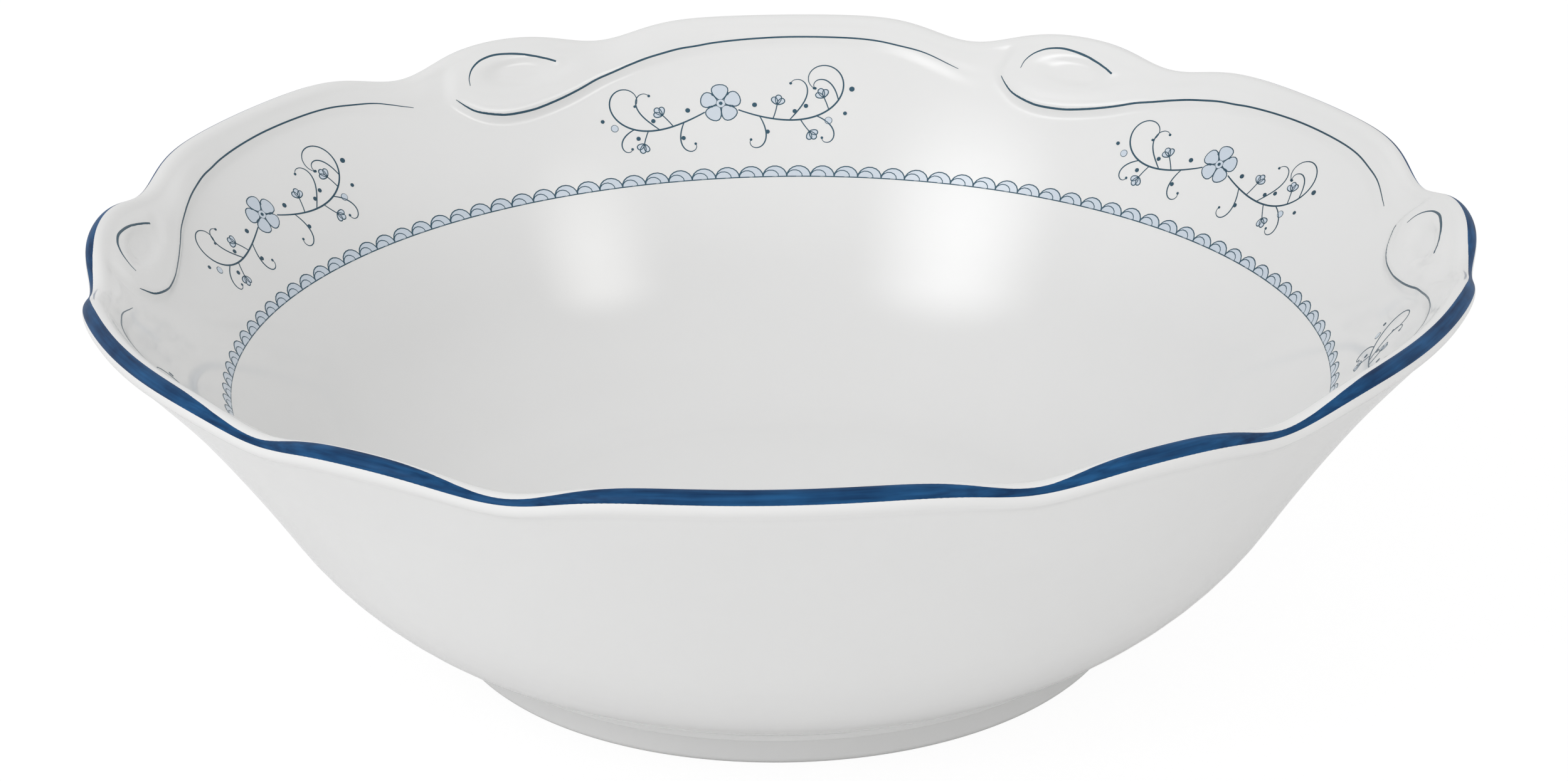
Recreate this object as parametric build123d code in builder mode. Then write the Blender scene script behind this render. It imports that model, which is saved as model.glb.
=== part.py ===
"""Porcelain serving bowl: an ogee wall on a foot ring, under a six-panel scalloped rim.

Each panel of the rim has one wide lobe and one small scroll lobe, with a notch on either side.
A moulded ribbon runs along under the rim of each panel and curls round a dish at its scroll.
Origin: centre of the foot, on the table. +Z is up, and a scroll points along +X. Millimetres.
"""
from build123d import *
from math import atan2, cos, degrees, exp, radians, sin, sqrt
import os

# ---- driving dimensions ---------------------------------------------------------------------
# overall form of the wall
rim_diameter = 260.0            # across the outside of the lip, lobe to lobe
bowl_height = 82.5              # table to the top of the lip on a lobe
rim_slope = 50.6                # degrees from level, where the wall meets the lip
belly_diameter = 195.0          # outside, where the round belly turns into the flare
belly_height = 33.7
base_diameter = 136.0           # where the wall leaves its foot
belly_wall = 4.7                # wall thickness at the belly
rim_wall = 3.4                  # wall thickness under the lip, away from the ribbon
floor_thickness = 4.9
floor_dip = 0.5                 # the floor is this much lower at its centre
well_diameter = 135.0           # where the floor turns up into the wall

# foot ring
foot_height = 7.3
foot_diameter = 132.2           # outside, on the table
foot_waist_diameter = 130.0     # the foot is narrowest just under its collar
collar_diameter = 134.4         # small step between the foot and the wall
collar_height = 1.4
foot_land = 3.0                 # width of the unglazed ring that stands on the table
foot_edge = 0.9                 # bevel outside the land
foot_root = 6.5                 # thickness of the foot where it meets the floor, in from its waist

# scalloped lip
panel_count = 6
lip_thickness = 4.6             # full round
lip_stand_out = 0.2             # how far the lip stands proud of the wall outside
left_notch_angle = -10.6        # degrees from the middle of the scroll
left_notch_depth = 3.5
left_notch_spread_angle = 5.8
right_notch_angle = 11.2
right_notch_depth = 2.7
right_notch_spread_angle = 5.4
notch_pull_ratio = 0.55         # how far the lip moves inwards for each millimetre of dip

# painted colour, which lies flush in the glaze
rim_line_low_angle = 12.0       # degrees above level, round the lip's section
rim_line_high_angle = 82.0
border_height = 52.6            # base line of the scale border, above the table
border_width = 2.6              # up the wall
paint_depth = 0.3

# moulded ribbon: its lower edge passes five places, each at an angle from the middle of the
# scroll, a drop below the top of the rim and a relief above the plain wall
ribbon_start_angle = -6.8
ribbon_start_drop = 8.4
ribbon_start_relief = 0.8
ribbon_scroll_angle = 0.2       # round the bottom of the scroll
ribbon_scroll_drop = 13.3
ribbon_scroll_relief = 1.5
ribbon_crossing_angle = 11.6    # under the right notch
ribbon_crossing_drop = 8.5
ribbon_crossing_relief = 1.2
ribbon_lobe_angle = 32.0        # under the wide lobe
ribbon_lobe_drop = 3.9
ribbon_lobe_relief = 0.9
ribbon_tail_angle = 50.0        # where it dies out under the next left notch
ribbon_tail_drop = 9.8
ribbon_tail_relief = 0.2
ribbon_edge_width = 2.8         # slope from the ribbon down to the wall
ribbon_crown = 0.2              # the ribbon is this much higher along its middle
ribbon_lip_step = 0.15          # the lip stands this much proud of the ribbon
ribbon_root = 1.0               # the ribbon is made this far into the wall, then cut back to it

# shallow dish inside each scroll
dish_angle = 1.4                # degrees from the middle of the scroll
dish_drop = 6.9                 # its middle, below the top of the rim
dish_length = 18.5
dish_width = 6.4
dish_depth = 1.0

# ---- places worked out from them ------------------------------------------------------------
panel_angle = 360 / panel_count
lip_radius = lip_thickness / 2
floor_height = foot_height + floor_thickness
trim_height = bowl_height + lip_radius          # the wall is made this high, then trimmed


def along(slope):
    """Unit vector up a wall that leans out at this slope, in degrees from level."""
    return Vector(cos(radians(slope)), sin(radians(slope)))


def inward(slope):
    """Unit vector square to that wall, pointing into the bowl."""
    return Vector(-sin(radians(slope)), cos(radians(slope)))


def wall_arc(start, slope, end):
    """Centre, radius and side of the arc that passes start at a slope and ends at end."""
    chord = end - start
    reach = chord.dot(chord) / (2 * chord.dot(inward(slope)))
    side = 1 if reach > 0 else -1
    return start + inward(slope) * reach, abs(reach), side


def point_on(arc, height):
    """The point of a wall arc at a height, as (distance from the axis, height)."""
    centre, radius, side = arc
    return Vector(centre.X + side * sqrt(radius**2 - (height - centre.Y) ** 2), height)


def raised_from(arc, height, relief):
    """A point this far into the bowl from a wall arc, square to it."""
    centre, radius, side = arc
    on_arc = point_on(arc, height)
    return on_arc + (centre - on_arc).normalized() * side * relief


lip_centre = Vector(rim_diameter / 2 - lip_radius, bowl_height - lip_radius)
outer_base = Vector(base_diameter / 2, foot_height)
outer_belly = Vector(belly_diameter / 2, belly_height)
outer_rim = lip_centre - inward(rim_slope) * (lip_radius - lip_stand_out)
flare_chord = outer_rim - outer_belly
belly_slope = 2 * degrees(atan2(flare_chord.Y, flare_chord.X)) - rim_slope  # the flare is an arc
inner_rim = outer_rim + inward(rim_slope) * rim_wall
inner_belly = outer_belly + inward(belly_slope) * belly_wall
well_edge = Vector(well_diameter / 2, floor_height)
floor_middle = Vector(0, floor_height - floor_dip)
outer_flare = wall_arc(outer_belly, belly_slope, outer_rim)
inner_flare = wall_arc(inner_belly, belly_slope, inner_rim)


def lip_dip(angle):
    """How far the lip lies below its lobes, at an angle from the middle of a scroll."""
    dip = 0.0
    for turn in (-panel_angle, 0, panel_angle):
        left = (angle + turn - left_notch_angle) / left_notch_spread_angle
        right = (angle + turn - right_notch_angle) / right_notch_spread_angle
        dip += left_notch_depth * exp(-left * left) + right_notch_depth * exp(-right * right)
    return dip


def lip_middle(angle):
    """Centre of the lip's round section in the radial plane at an angle."""
    dip = lip_dip(angle)
    return lip_centre - Vector(dip * notch_pull_ratio, dip)


def on_lip(angle, direction, depth=0.0):
    """A point round the lip's section, this many degrees above level and this deep."""
    return lip_middle(angle) + along(direction) * (lip_radius - depth)


def radial_plane(angle):
    """Half plane through the bowl's axis, turned clockwise by an angle from +X."""
    turn = radians(-angle)
    return Plane(origin=(0, 0, 0), x_dir=(cos(turn), sin(turn), 0), z_dir=(sin(turn), -cos(turn), 0))


def spread(first, last, count):
    return [first + (last - first) * step / (count - 1) for step in range(count)]


# one panel runs from the middle of a wide lobe to the middle of the next
panel_first = (left_notch_angle + right_notch_angle - panel_angle) / 2
lip_stations = spread(panel_first, panel_first + panel_angle, 21)
rim_line_middle_angle = (rim_line_low_angle + rim_line_high_angle) / 2

# ---- tools and bands that are made for one panel --------------------------------------------
# what is trimmed off the wall: all that stands above the middle of the lip
trim_reach = 4 * lip_thickness
with BuildPart() as rim_trim:
    for angle in lip_stations:
        inside = lip_middle(angle) + inward(rim_slope) * trim_reach
        outside = lip_middle(angle) - inward(rim_slope) * trim_reach
        above = along(rim_slope) * trim_reach
        with BuildSketch(radial_plane(angle)):
            with BuildLine():
                Polyline(inside, outside, outside + above, inside + above, close=True)
            make_face()
    loft()


def lip_section(angle, far_direction):
    """Section at the painted line's bed, closed by an arc round the lip through a direction."""
    line_low = on_lip(angle, rim_line_low_angle)
    line_high = on_lip(angle, rim_line_high_angle)
    bed_low = on_lip(angle, rim_line_low_angle, paint_depth)
    bed_middle = on_lip(angle, rim_line_middle_angle, paint_depth)
    bed_high = on_lip(angle, rim_line_high_angle, paint_depth)
    with BuildSketch(radial_plane(angle)) as section:
        with BuildLine():
            Line(line_low, bed_low)
            ThreePointArc(bed_low, bed_middle, bed_high)
            Line(bed_high, line_high)
            ThreePointArc(line_high, on_lip(angle, far_direction), line_low)
        make_face()
    return section.sketch


# round lip, with a shallow bed for the painted line
with BuildPart() as lip_panel:
    loft([lip_section(angle, rim_line_middle_angle + 180) for angle in lip_stations])

# the painted line itself, which fills that bed
with BuildPart() as line_panel:
    loft([lip_section(angle, rim_line_middle_angle) for angle in lip_stations])

# ---- scale border: a band that lies in a shallow bed round the inside of the flare ----------
border_top = border_height + border_width * sin(radians((belly_slope + rim_slope) / 2))
border_middle = (border_height + border_top) / 2
with BuildPart() as scale_border:
    with BuildSketch(Plane.XZ):
        with BuildLine():
            ThreePointArc(point_on(inner_flare, border_height),
                          point_on(inner_flare, border_middle),
                          point_on(inner_flare, border_top))
            Line(point_on(inner_flare, border_top),
                 raised_from(inner_flare, border_top, -paint_depth))
            ThreePointArc(raised_from(inner_flare, border_top, -paint_depth),
                          raised_from(inner_flare, border_middle, -paint_depth),
                          raised_from(inner_flare, border_height, -paint_depth))
            Line(raised_from(inner_flare, border_height, -paint_depth),
                 point_on(inner_flare, border_height))
        make_face()
    revolve(axis=Axis.Z)

# ---- bowl body: floor, wall and lip ---------------------------------------------------------
with BuildPart() as bowl_body:
    with BuildSketch(Plane.XZ):
        with BuildLine():
            Line((0, foot_height), outer_base)
            TangentArc(outer_belly, outer_base, tangent=-along(belly_slope))
            ThreePointArc(outer_belly, outer_rim, point_on(outer_flare, trim_height))
            Line(point_on(outer_flare, trim_height), point_on(inner_flare, trim_height))
            ThreePointArc(point_on(inner_flare, trim_height), inner_rim, inner_belly)
            TangentArc(inner_belly, well_edge, tangent=-along(belly_slope))
            Line(well_edge, floor_middle)
            Line(floor_middle, (0, foot_height))
        make_face()
    revolve(axis=Axis.Z)
    with PolarLocations(0, panel_count):
        add(rim_trim.part, mode=Mode.SUBTRACT)
    with PolarLocations(0, panel_count):
        add(lip_panel.part)
    add(scale_border.part, mode=Mode.SUBTRACT)

# ---- rim line: the cobalt line round the lip ------------------------------------------------
with BuildPart() as rim_line:
    with PolarLocations(0, panel_count):
        add(line_panel.part)

# ---- foot ring ------------------------------------------------------------------------------
foot_radius = foot_diameter / 2
waist_radius = foot_waist_diameter / 2
waist_height = foot_height - collar_height
recess_radius = waist_radius - foot_root
land_radius = foot_radius - foot_edge           # outer edge of the land
with BuildPart() as foot_ring:
    with BuildSketch(Plane.XZ):
        with BuildLine():
            Polyline((recess_radius, foot_height), (collar_diameter / 2, foot_height),
                     (collar_diameter / 2, waist_height), (waist_radius, waist_height),
                     (foot_radius, foot_edge), (land_radius, 0), (land_radius - foot_land, 0),
                     close=True)
        make_face()
    revolve(axis=Axis.Z)

# ---- scroll relief: the moulded ribbon of one panel, seated on the wall ----------------------
with BuildLine() as ribbon_edge:
    Spline((ribbon_start_angle, ribbon_start_drop, ribbon_start_relief),
           (ribbon_scroll_angle, ribbon_scroll_drop, ribbon_scroll_relief),
           (ribbon_crossing_angle, ribbon_crossing_drop, ribbon_crossing_relief),
           (ribbon_lobe_angle, ribbon_lobe_drop, ribbon_lobe_relief),
           (ribbon_tail_angle, ribbon_tail_drop, ribbon_tail_relief))

with BuildPart() as scroll_ribbon:
    for share in spread(0, 1, 15):
        station = ribbon_edge.edges()[0] @ share
        lip_level = lip_middle(station.X)
        lip_proud = (lip_level - point_on(inner_flare, lip_level.Y)).dot(inward(rim_slope)) + lip_radius
        edge_height = bowl_height - station.Y
        foot_level = edge_height - ribbon_edge_width * sin(radians(rim_slope))
        upper_relief = min(lip_proud - ribbon_lip_step, station.Z)
        middle_relief = (station.Z + upper_relief) / 2 + ribbon_crown
        middle_height = (edge_height + lip_level.Y) / 2
        ribbon_low = raised_from(inner_flare, edge_height, station.Z)
        ribbon_high = raised_from(inner_flare, lip_level.Y, upper_relief)
        with BuildSketch(radial_plane(station.X)):
            with BuildLine():
                Polyline(ribbon_high, raised_from(inner_flare, lip_level.Y, -ribbon_root),
                         raised_from(inner_flare, foot_level, -ribbon_root),
                         point_on(inner_flare, foot_level), ribbon_low)
                ThreePointArc(ribbon_low, raised_from(inner_flare, middle_height, middle_relief),
                              ribbon_high)
            make_face()
    loft()

    # the dish is scooped out by a spindle that lies along the wall
    dish_height = bowl_height - dish_drop
    dish_surface = raised_from(inner_flare, dish_height, ribbon_scroll_relief)
    cross_radius = (dish_width**2 / 4 + dish_depth**2) / (2 * dish_depth)
    long_radius = 1 / (8 * dish_depth / dish_length**2 + 1 / dish_surface.X)
    half_spindle = sqrt(long_radius**2 - (long_radius - cross_radius) ** 2)
    spindle_middle = dish_surface + inward(rim_slope) * (cross_radius - dish_depth)
    dish_plane = radial_plane(dish_angle)
    spindle_plane = Plane(origin=dish_plane.from_local_coords(spindle_middle),
                          x_dir=dish_plane.z_dir,
                          z_dir=dish_plane.z_dir.cross(dish_plane.y_dir * cos(radians(rim_slope))
                                                       - dish_plane.x_dir * sin(radians(rim_slope))))
    with BuildSketch(spindle_plane) as spindle_section:
        with BuildLine():
            ThreePointArc((-half_spindle, 0), (0, -cross_radius), (half_spindle, 0))
            Line((half_spindle, 0), (-half_spindle, 0))
        make_face()
    revolve(spindle_section.sketch, axis=Axis(spindle_plane.origin, spindle_plane.x_dir),
            mode=Mode.SUBTRACT)
    add(bowl_body.part, mode=Mode.SUBTRACT)

os.makedirs("parts", exist_ok=True)
for finished, name in ((bowl_body, "bowl_body"), (foot_ring, "foot_ring"),
                       (rim_line, "rim_line"), (scale_border, "scale_border")):
    finished.part.label = name
    export_step(finished.part, f"parts/{name}.step")

for panel in range(panel_count):
    with BuildPart() as scroll_relief:
        with Locations(Rotation(0, 0, panel * panel_angle)):
            add(scroll_ribbon.part)
    scroll_relief.part.label = f"scroll_relief_{panel + 1}"
    export_step(scroll_relief.part, f"parts/scroll_relief_{panel + 1}.step")
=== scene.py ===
import bpy
from math import atan2, cos, degrees, exp, hypot, pi, radians, sin, sqrt
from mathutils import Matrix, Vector


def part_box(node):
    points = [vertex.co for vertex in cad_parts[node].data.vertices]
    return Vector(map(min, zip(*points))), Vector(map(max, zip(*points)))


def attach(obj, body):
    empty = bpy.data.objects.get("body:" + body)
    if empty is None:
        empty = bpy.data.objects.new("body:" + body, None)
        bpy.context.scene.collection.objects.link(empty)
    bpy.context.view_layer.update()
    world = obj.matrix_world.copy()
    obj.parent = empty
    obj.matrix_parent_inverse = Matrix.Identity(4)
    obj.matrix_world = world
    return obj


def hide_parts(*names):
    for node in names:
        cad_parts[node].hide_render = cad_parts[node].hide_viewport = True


# the CAD frame and the stage are in metres; the tables and section maths are in millimetres and degrees
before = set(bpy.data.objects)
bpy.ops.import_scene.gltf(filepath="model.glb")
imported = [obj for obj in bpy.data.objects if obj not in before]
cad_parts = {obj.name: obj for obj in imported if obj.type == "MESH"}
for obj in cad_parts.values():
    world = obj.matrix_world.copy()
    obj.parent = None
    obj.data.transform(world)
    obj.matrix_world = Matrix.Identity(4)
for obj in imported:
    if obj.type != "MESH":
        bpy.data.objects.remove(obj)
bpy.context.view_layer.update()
mm = 0.001


# how far a CAD node reaches along Y, and its lowest and highest level
def sizeOf(node):
    low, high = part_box(node)
    return high.y / mm, low.z / mm, high.z / mm


rimRadius, footTop, rimTop = sizeOf("bowl_body")
borderBase = sizeOf("scale_border")[1]
collarRadius, tableLevel = sizeOf("foot_ring")[:2]

cameraView = {
    "target": (0.55, 0.0, 44.9),
    "distance": 624.4,
    "elevation": 22.85,
    "roll": -0.94,
    "turn": 0.75,               # degrees that the view stands round from the bowl's own front
    "lens": 74.6,
    "sensorWidth": 36,
    "clipStart": 0.01,          # metres
}


def makeCamera():
    lookFrom = radians(cameraView["turn"])
    lift = radians(cameraView["elevation"])
    target = Vector(cameraView["target"]) * mm
    target = Vector((target.x * cos(lookFrom), target.x * sin(lookFrom), target.z))
    back = Vector((sin(lookFrom) * cos(lift), -cos(lookFrom) * cos(lift), sin(lift)))
    bpy.ops.object.camera_add(location=target + back * cameraView["distance"] * mm)
    camera = bpy.context.object
    camera.rotation_euler = (-back).to_track_quat("-Z", "Y").to_euler()
    camera.rotation_euler.rotate_axis("Z", radians(cameraView["roll"]))
    camera.data.lens = cameraView["lens"]
    camera.data.sensor_width = cameraView["sensorWidth"]
    camera.data.clip_start = cameraView["clipStart"]
    bpy.context.scene.camera = camera
    print("camera ready")


wall = {
    "rimSlope": 50.6,           # degrees from level, where the wall meets the lip
    "bellyRadius": 97.5,
    "bellyHeight": 33.7,
    "baseRadius": 68.0,
    "bellyThickness": 4.7,
    "rimThickness": 3.4,
    "floorThickness": 4.9,
    "floorDip": 0.5,
    "wellRadius": 67.5,
    "wellBlend": 9.0,           # rounding where the floor turns up
    "inset": 0.06,              # the glaze stays this far inside the solids' box
}
lip = {
    "radius": 2.3,
    "standOut": 0.2,
    "thinning": 0.10,           # the section shrinks by this for each millimetre of dip
    "leftNotch": (-10.6, 3.5, 5.8),     # angle, depth, spread
    "rightNotch": (11.2, 2.7, 5.4),
    "pull": 0.55,               # inwards for each millimetre of dip
    "panel": 60.0,
    "step": 0.12,               # the lip stands this much proud of the ribbon
    "stepGrowth": 0.30,         # and by this much less for each millimetre down the wall
    "turnFrom": 9.0,            # between these depths below the lip the wall's normal turns to the lip's
    "turnTo": 1.0,
    "fall": 3,                  # how fast the lip's round drops away beyond its own radius
    "blend": 0.5,               # softness of the join from wall to lip
    "ribbonBlend": 0.6,         # and from ribbon to lip
}


def along(slope):
    return Vector((cos(radians(slope)), sin(radians(slope))))


def inward(slope):
    return Vector((-sin(radians(slope)), cos(radians(slope))))


# centre, radius and side of the arc that passes start at a slope and ends at end
def arcThrough(start, slope, end):
    chord = end - start
    reach = chord.dot(chord) / (2 * chord.dot(inward(slope)))
    return start + inward(slope) * reach, abs(reach), 1 if reach > 0 else -1


def arcPoint(arc, height):
    centre, radius, side = arc
    return Vector((centre.x + side * sqrt(radius**2 - (height - centre.y)**2), height))


def arcNormal(arc, point):
    centre, radius, side = arc
    return (centre - point) / radius * side


lipCentre = Vector((rimRadius - wall["inset"] - lip["radius"], rimTop - wall["inset"] - lip["radius"]))
up = along(wall["rimSlope"])
across = inward(wall["rimSlope"])
outerRim = lipCentre - across * (lip["radius"] - lip["standOut"])
outerBelly = Vector((wall["bellyRadius"], wall["bellyHeight"]))
flareChord = outerRim - outerBelly
bellySlope = 2 * degrees(atan2(flareChord.y, flareChord.x)) - wall["rimSlope"]
innerRim = outerRim + across * wall["rimThickness"]
innerBelly = outerBelly + inward(bellySlope) * wall["bellyThickness"]
outerFlare = arcThrough(outerBelly, bellySlope, outerRim)
innerFlare = arcThrough(innerBelly, bellySlope, innerRim)
outerBase = Vector((wall["baseRadius"], footTop))
wellEdge = Vector((wall["wellRadius"], footTop + wall["floorThickness"]))
innerBowl = arcThrough(innerBelly, bellySlope, wellEdge)
outerBowl = arcThrough(outerBelly, bellySlope, outerBase)
print("wall section ready")


def smoothStep(start, end, value):
    share = min(max((value - start) / (end - start), 0.0), 1.0)
    return share * share * (3 - 2 * share)


def smoothMax(a, b, blend):
    near = max(blend - abs(a - b), 0.0) / blend
    return max(a, b) + near * near * blend / 4


def smoothMin(a, b, blend):
    return -smoothMax(-a, -b, blend)


def intoPanel(angle):
    return (angle + lip["panel"] / 2) % lip["panel"] - lip["panel"] / 2


def lipDip(angle):
    dip = 0.0
    for turn in (-lip["panel"], 0, lip["panel"]):
        for middle, depth, spread in (lip["leftNotch"], lip["rightNotch"]):
            dip += depth * exp(-((intoPanel(angle) + turn - middle) / spread)**2)
    return dip


ribbon = {
    # lower edge of the ribbon: degrees from the middle of the scroll, drop below the rim, relief
    "edge": [(-6.8, 8.4, 0.9), (-3.6, 12.3, 1.3), (0.2, 13.3, 1.5), (5.5, 11.9, 1.45), (11.6, 8.5, 1.15),
             (20.0, 5.2, 0.95), (32.0, 3.9, 0.8), (41.0, 4.9, 0.55), (50.0, 9.8, 0.12)],
    "slopeWidth": 2.9,
    "slopeTop": 0.1,
    "leftEdge": -6.1,           # the scroll ends in a step on this side
    "leftWidth": 1.3,
    "leftTop": 0.2,
    "leftLean": 0.24,           # degrees to the right for each millimetre up
    "leanFrom": 74.5,
    "margin": 3,                # degrees to the left of its edge where the ribbon is still worked out
    "fadeFrom": -2,             # degrees from the end of its edge
    "fadeTo": 3.5,
    "crown": 0.15,
    "crownFrom": 0.5,
    "crownTo": 3,
    "probe": 0.5,               # degrees over which its edge's slope is taken
    "degree": radians(118),     # millimetres in a degree at the ribbon
}
dish = {
    "middle": (1.5, 75.7),
    "half": (9.6, 3.9),
    "depth": 1.0,
    "side": (0.45, 1.1),        # its side rises between these shares of its reach
    "valleyFrom": (4.5, 74.3),
    "valleyTo": (11.0, 79.4),
    "valleyHalf": 1.7,
    "valleyDepth": 0.5,
    "valleySide": (0.2, 1.3),
    "valleyFade": 0.4,          # share of its depth that is lost towards its end
    "blend": 0.3,
    "least": 0.001,             # shallower than this counts as none
}


# smooth value, or values, at x through points whose first number grows
def throughPoints(points, x):
    last = len(points) - 1
    x = min(max(x, points[0][0]), points[last][0])
    at = 0
    while at < last - 1 and points[at + 1][0] < x:
        at += 1
    before, start, end, after = (points[max(at - 1, 0)], points[at], points[at + 1],
                                 points[min(at + 2, last)])
    run = end[0] - start[0]
    share = (x - start[0]) / run
    values = []
    for k in range(1, len(start)):
        fromSlope = (end[k] - before[k]) / (end[0] - before[0]) * run
        toSlope = (after[k] - start[k]) / (after[0] - start[0]) * run
        values.append(start[k] * (2 * share**3 - 3 * share**2 + 1)
                      + fromSlope * (share**3 - 2 * share**2 + share)
                      + end[k] * (3 * share**2 - 2 * share**3) + toSlope * (share**3 - share**2))
    return values


# relief above the plain wall of the ribbon that starts in this panel
def oneRibbon(angle, base):
    edge = ribbon["edge"]
    if angle < edge[0][0] - ribbon["margin"] or angle > edge[-1][0] + ribbon["fadeTo"]:
        return 0.0
    drop, height = throughPoints(edge, angle)
    ahead = throughPoints(edge, angle + ribbon["probe"])[0]
    steep = (ahead - drop) / (ribbon["probe"] * ribbon["degree"])
    aboveEdge = (base - (rimTop - drop)) / up.y / sqrt(1 + steep * steep)
    rise = smoothStep(-ribbon["slopeWidth"], ribbon["slopeTop"], aboveEdge)
    leftAt = ribbon["leftEdge"] + ribbon["leftLean"] * max(base - ribbon["leanFrom"], 0)
    start = smoothStep(leftAt - ribbon["leftWidth"], leftAt + ribbon["leftTop"], angle)
    fade = 1 - smoothStep(edge[-1][0] + ribbon["fadeFrom"], edge[-1][0] + ribbon["fadeTo"], angle)
    crown = ribbon["crown"] * smoothStep(ribbon["crownFrom"], ribbon["crownTo"], aboveEdge)
    return (height + crown) * rise * start * fade


# millimetres round and up the wall
def overWall(angle, base):
    return Vector((angle * ribbon["degree"], base / up.y))


# how much the dish and the short valley beside it take off the ribbon
def dishAndValley(angle, base):
    u = (angle - dish["middle"][0]) * ribbon["degree"]
    v = (base - dish["middle"][1]) / up.y
    reach = hypot(u / dish["half"][0], v / dish["half"][1])
    hollow = dish["depth"] * (1 - smoothStep(*dish["side"], reach))
    start = overWall(*dish["valleyFrom"])
    run = overWall(*dish["valleyTo"]) - start
    here = overWall(angle, base) - start
    share = min(max(here.dot(run) / run.dot(run), 0), 1)
    away = (here - run * share).length
    side = 1 - smoothStep(*dish["valleySide"], away / dish["valleyHalf"])
    valley = dish["valleyDepth"] * side * (1 - dish["valleyFade"] * share)
    return smoothMax(hollow, valley, dish["blend"]) if max(hollow, valley) > dish["least"] else 0.0


def relief(angle, base):
    here = intoPanel(angle)
    own = oneRibbon(here, base)
    if own > 0:
        own = max(own - dishAndValley(here, base), 0.0)
    return max(own, oneRibbon(here + lip["panel"], base))


panels = round(360 / lip["panel"])
sectionCache = {}


# centre and radius of the lip, and the wall heights that meet its middle, inside and outside
def lipAt(angle):
    key = round(intoPanel(angle), 3)
    if key not in sectionCache:
        dip = lipDip(angle)
        centre = lipCentre - Vector((dip * lip["pull"], dip))
        radius = lip["radius"] - dip * lip["thinning"]
        heights = []
        for arc in (innerFlare, outerFlare):
            height = centre.y
            # the wall is a gentle arc, so four rounds are enough
            for _ in range(4):
                height += (centre - arcPoint(arc, height)).dot(up) * up.y
            heights.append(height)
        sectionCache[key] = (centre, radius, heights[0], heights[1])
    return sectionCache[key]


# how far a wall point lies from the lip's round, along the wall's normal
def liftToLip(centre, radius, point, side):
    below = (centre - point).dot(up)
    stand = (point - centre).dot(across) * side
    if abs(below) < radius:
        return sqrt(radius * radius - below * below) - stand
    return -stand - lip["fall"] * (abs(below) - radius)


# inside surface where the plain wall has this height
def innerPoint(angle, height):
    centre, radius, top, _ = lipAt(angle)
    point = arcPoint(innerFlare, height)
    near = smoothStep(lip["turnFrom"], lip["turnTo"], top - height)
    normal = (arcNormal(innerFlare, point) * (1 - near) + across * near).normalized()
    below = (centre - point).dot(up)
    stand = (point - centre).dot(across)
    limit = radius - stand - lip["step"] + lip["stepGrowth"] * max(below, 0)
    raised = smoothMin(relief(angle, height), limit, lip["ribbonBlend"])
    return point + normal * smoothMax(raised, liftToLip(centre, radius, point, 1), lip["blend"])


def outerPoint(angle, height):
    centre, radius, _, top = lipAt(angle)
    point = arcPoint(outerFlare, height)
    near = smoothStep(lip["turnFrom"], lip["turnTo"], top - height)
    normal = (-arcNormal(outerFlare, point) * (1 - near) - across * near).normalized()
    return point + normal * smoothMax(0, liftToLip(centre, radius, point, -1), lip["blend"])


# heights above which the wall follows the scalloped lip, and its mesh is cut finer
fineFrom = {"inside": 58.0, "outside": 60.0}


# section by station: 0 to 1 up the inside, 1 to 2 over the lip, 2 to 3 down the outside
def upperPoint(angle, station):
    centre, radius, innerTop, outerTop = lipAt(angle)
    if station <= 1:
        return innerPoint(angle, fineFrom["inside"] + station * (innerTop - fineFrom["inside"]))
    if station < 2:
        turn = (station - 1) * pi
        return centre + (across * cos(turn) + up * sin(turn)) * radius
    return outerPoint(angle, outerTop + (station - 2) * (fineFrom["outside"] - outerTop))


def clearSelection():
    if bpy.context.object and bpy.context.object.mode != "OBJECT":
        bpy.ops.object.mode_set(mode="OBJECT")
    bpy.ops.object.select_all(action="DESELECT")


# a chain of edges in the XZ plane, to be spun round the axis; points are (radius, height)
def startPiece(name, outline, closed=False, stations=None):
    clearSelection()
    bpy.ops.mesh.primitive_plane_add(size=1, location=(0, 0, 0))
    piece = bpy.context.object
    piece.name = name
    bpy.ops.object.mode_set(mode="EDIT")
    bpy.ops.mesh.select_all(action="SELECT")
    bpy.ops.mesh.merge(type="CENTER")
    here = Vector((outline[0][0], 0, outline[0][1])) * mm
    bpy.ops.transform.translate(value=here)
    for point in outline[1:]:
        there = Vector((point[0], 0, point[1])) * mm
        bpy.ops.mesh.extrude_region_move(TRANSFORM_OT_translate={"value": there - here})
        here = there
    bpy.ops.object.mode_set(mode="OBJECT")
    if closed:
        # the last point is still selected, so this joins it to the first
        piece.data.vertices[0].select = True
        bpy.ops.object.mode_set(mode="EDIT")
        bpy.ops.mesh.edge_face_add()
        bpy.ops.object.mode_set(mode="OBJECT")
    if stations:
        layer = piece.data.attributes.new("station", "FLOAT", "POINT")
        # the mesh doesn't keep its points in the order they were added
        for vertex, item in zip(piece.data.vertices, layer.data):
            gaps = [hypot(x - vertex.co.x / mm, z - vertex.co.z / mm) for x, z in outline]
            item.value = stations[gaps.index(min(gaps))]
    return piece


# spins the outline that startPiece has just made
def spinPiece(steps):
    bpy.ops.object.mode_set(mode="EDIT")
    bpy.ops.mesh.select_all(action="SELECT")
    bpy.ops.mesh.spin(steps=steps, angle=2 * pi, center=(0, 0, 0), axis=(0, 0, 1))
    bpy.ops.mesh.select_all(action="SELECT")
    bpy.ops.mesh.remove_doubles(threshold=1e-6)
    bpy.ops.object.mode_set(mode="OBJECT")


def stationsOf(piece):
    return [item.value for item in piece.data.attributes["station"].data]


# angle clockwise from +X
def turnOf(point):
    return -degrees(atan2(point.y, point.x))


def placeAt(angle, section):
    turn = radians(-angle)
    return Vector((section.x * cos(turn), section.x * sin(turn), section.y)) * mm


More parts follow.
